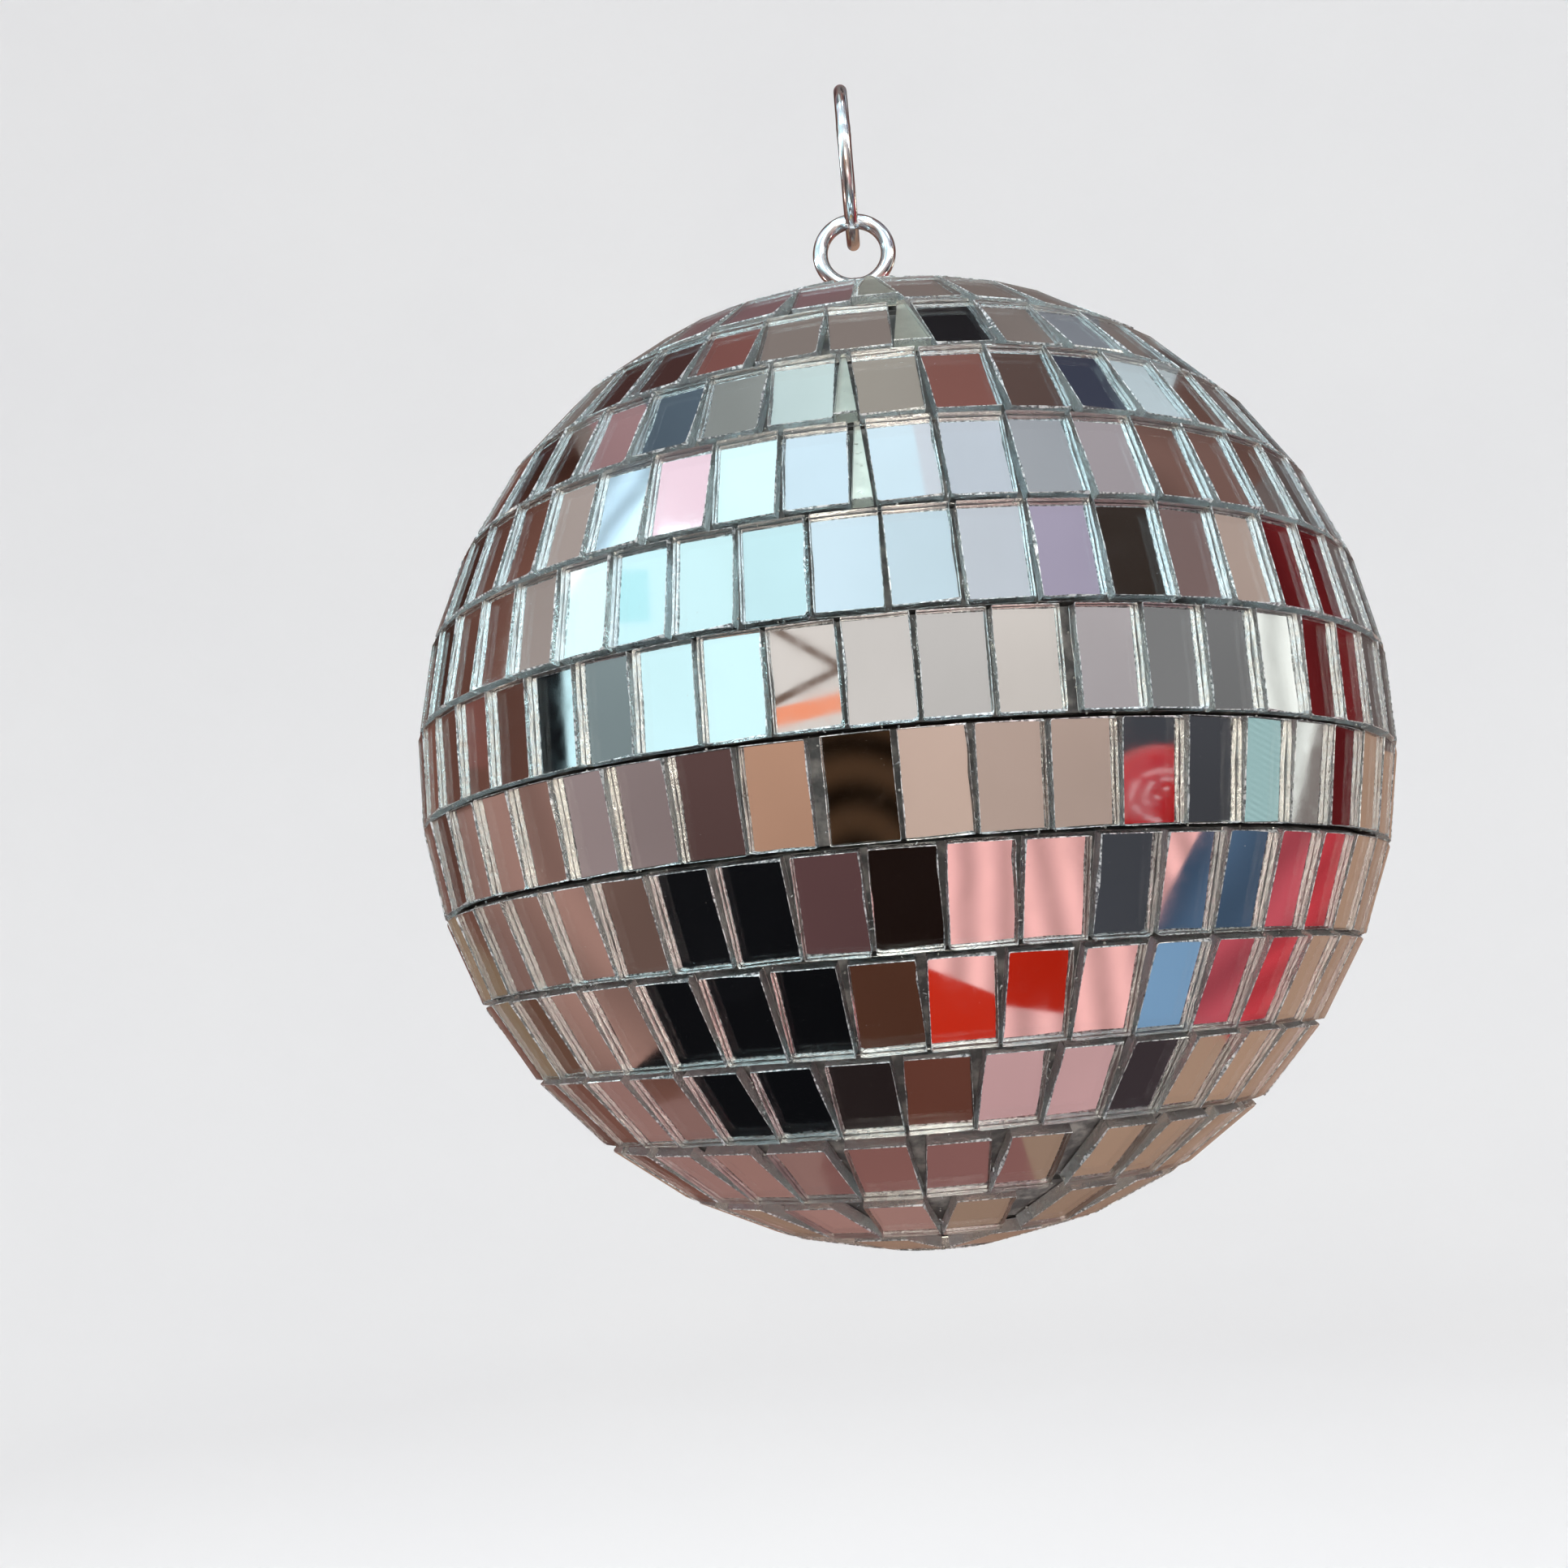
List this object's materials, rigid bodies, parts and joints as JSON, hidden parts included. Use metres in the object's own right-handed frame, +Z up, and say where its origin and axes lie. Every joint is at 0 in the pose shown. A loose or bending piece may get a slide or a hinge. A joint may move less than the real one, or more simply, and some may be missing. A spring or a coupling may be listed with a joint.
{
  "type": "mirror ball",
  "caption": "Hanging mirror ball: flat glass mirror tiles in rows round a two-part hollow core, on a swivel eye and a hanging ring.",
  "frame": {"origin": "the hanging point: the top of the inside of the hanging ring, where a hook or cord bears", "axes": "+Z up along the ball's own axis and the swivel's shank; the hanging ring lies in the YZ plane and the loop of the eye in the XZ plane at rest; the front, where the closed seams of the northern rows lie, faces -Y"},
  "size_m": [0.108, 0.108, 0.1369],
  "materials": {
    "mirror_glass": "silvered glass, rough-cut edges",
    "clear_glass": "rough-cut silvered sliver, mostly bare edge",
    "core_plastic": "moulded, matt",
    "chromed_steel": "bright chrome",
    "plain_steel": "bright zinc",
    "brass": "turned",
    "nylon": "natural"
  },
  "bodies": {
    "ring": {"hanging_ring": "chromed_steel"},
    "swivel": {"swivel_eye": "chromed_steel", "thrust_washer": "nylon", "shank_nut": "plain_steel"},
    "ball": {"bush_nut": "plain_steel", "crown_cap": "chromed_steel", "load_plate": "plain_steel", "lower_shell": "core_plastic", "mirror_row_equator": "mirror_glass", "mirror_row_north_1": "mirror_glass", "mirror_row_north_2": "mirror_glass", "mirror_row_north_3": "mirror_glass", "mirror_row_north_4": "mirror_glass", "mirror_row_north_5": "mirror_glass", "mirror_row_north_6": "mirror_glass", "mirror_row_north_7": "mirror_glass", "mirror_row_south_1": "mirror_glass", "mirror_row_south_2": "mirror_glass", "mirror_row_south_3": "mirror_glass", "mirror_row_south_4": "mirror_glass", "mirror_row_south_5": "mirror_glass", "mirror_row_south_6": "mirror_glass", "mirror_row_south_7": "mirror_glass", "seam_sliver_2": "clear_glass", "seam_sliver_3": "clear_glass", "seam_sliver_4": "clear_glass", "seam_sliver_5": "clear_glass", "south_pole_mirror": "mirror_glass", "stem_bush": "brass", "upper_shell": "core_plastic"}
  },
  "joints": [
    {"name": "ring_swing", "type": "hinge", "parent": "ring", "child": "swivel", "pos_m": [0, 0, -0.0168], "axis": [0, 1, 0], "range_deg": [-100, 100]},
    {"name": "ball_spin", "type": "hinge", "parent": "swivel", "child": "ball", "pos_m": [0, 0, -0.0813], "axis": [0, 0, 1], "continuous": true}
  ]
}
